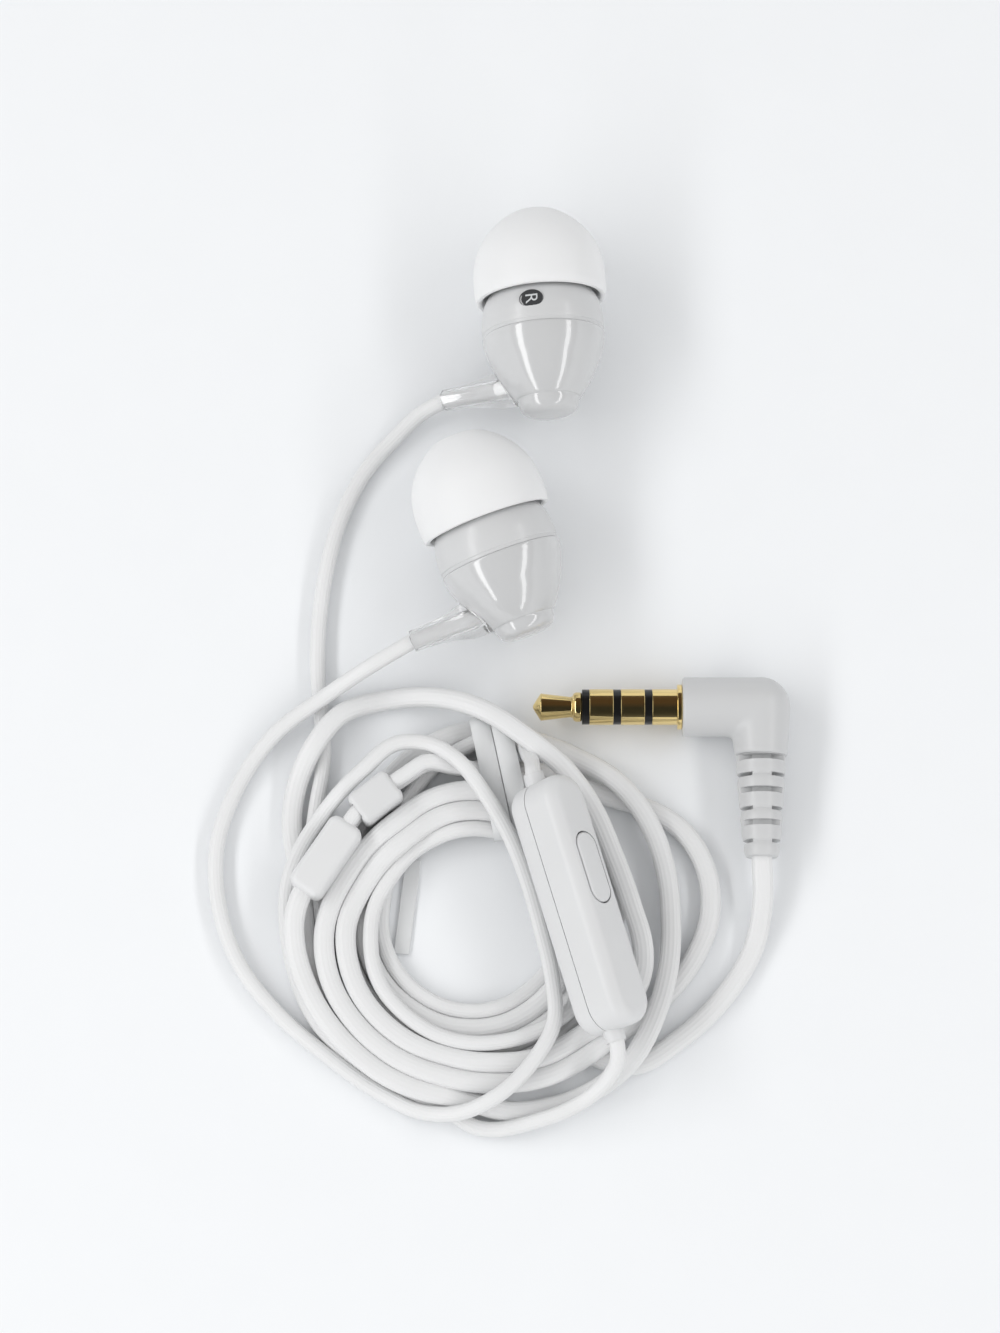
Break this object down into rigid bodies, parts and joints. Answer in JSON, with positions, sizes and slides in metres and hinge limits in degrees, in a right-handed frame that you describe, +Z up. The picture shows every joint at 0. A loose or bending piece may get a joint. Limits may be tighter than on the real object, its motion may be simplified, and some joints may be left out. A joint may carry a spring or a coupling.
{
  "type": "wired earphones",
  "caption": "Wired in-ear earphones with silicone ear tips, an in-line remote, a cord splitter with its slider and an angled audio plug, the cord wound and tied in a flat coil.",
  "frame": {"origin": "on the surface the set lies on, below the middle of the two earbuds' common box", "axes": "+Z up; +Y from the cord's coil towards the earbuds; +X to the right, and the plug's pin points along -X"},
  "size_m": [0.0563, 0.0908, 0.0131],
  "materials": {
    "silicone_tip": "satin translucent silicone",
    "white_gloss": "glossy moulded plastic",
    "silver_cup": "satin silver lacquer on metal",
    "steel": "plain steel",
    "driver_plastic": "matte moulded plastic",
    "magnet_plating": "nickel plating",
    "copper_wire": "enamelled copper wire",
    "diaphragm_film": "thin formed film",
    "circuit_board": "solder-masked board",
    "mark_grey": "glossy dark grey pad",
    "clear_sleeve": "clear soft plastic",
    "cord_white": "satin elastomer with fine lengthwise ribs",
    "white_satin": "satin moulded plastic",
    "button_white": "satin moulded plastic",
    "gold_plating": "gold plating",
    "black_insulator": "black moulded plastic",
    "tie_white": "flat plastic tie"
  },
  "bodies": {
    "set": {"right_front_housing": "white_gloss", "right_rear_cup": "silver_cup", "right_nozzle_screen": "steel", "right_yoke": "steel", "right_pole_plate": "steel", "right_driver_frame": "driver_plastic", "right_magnet": "magnet_plating", "right_voice_coil": "copper_wire", "right_diaphragm": "diaphragm_film", "right_terminal_board": "circuit_board", "right_side_mark": "mark_grey", "right_strain_relief": "clear_sleeve", "right_cord_knot": "cord_white", "left_front_housing": "white_gloss", "left_rear_cup": "silver_cup", "left_nozzle_screen": "steel", "left_yoke": "steel", "left_pole_plate": "steel", "left_driver_frame": "driver_plastic", "left_magnet": "magnet_plating", "left_voice_coil": "copper_wire", "left_diaphragm": "diaphragm_film", "left_terminal_board": "circuit_board", "left_side_mark": "mark_grey", "left_strain_relief": "clear_sleeve", "left_cord_knot": "cord_white", "remote_front_shell": "white_satin", "remote_back_shell": "white_satin", "remote_grommets": "white_satin", "y_upper_shell": "white_satin", "y_lower_shell": "white_satin", "plug_housing": "white_satin", "plug_boot": "white_satin", "dome_switch": "steel", "microphone": "steel", "remote_board": "circuit_board", "plug_tip": "gold_plating", "plug_ring_1": "gold_plating", "plug_ring_2": "gold_plating", "plug_sleeve": "gold_plating", "plug_solder_tags": "gold_plating", "plug_insulators": "black_insulator", "cord_coil": "cord_white", "right_lead": "cord_white", "left_lead": "cord_white", "top_loop": "cord_white", "outer_arc": "cord_white", "far_arc": "cord_white", "plug_lead": "cord_white", "remote_top_lead": "cord_white", "remote_tail": "cord_white", "branch_pair": "cord_white", "main_exit": "cord_white", "cord_tie": "tie_white"},
    "right_tip": {"right_ear_tip": "silicone_tip"},
    "left_tip": {"left_ear_tip": "silicone_tip"},
    "button": {"play_button": "button_white"},
    "slider": {"cord_slider": "white_satin"}
  },
  "joints": [
    {"name": "right_tip_pull", "type": "slide", "parent": "set", "child": "right_tip", "axis": [-0.0697, 0.9974, -0.0175], "range_m": [0, 0.008]},
    {"name": "left_tip_turn", "type": "hinge", "parent": "set", "child": "left_tip", "pos_m": [-0.00095, -0.013, 0.0061], "axis": [-0.3489, 0.9331, 0.0872], "continuous": true},
    {"name": "button_press", "type": "slide", "parent": "set", "child": "button", "axis": [-0.7107, -0.2172, -0.6692], "range_m": [0, 0.0003], "stiffness_N_per_m": 3000},
    {"name": "slider_slide", "type": "slide", "parent": "set", "child": "slider", "axis": [0.788, 0.6157, 0], "range_m": [0, 0.003]}
  ]
}
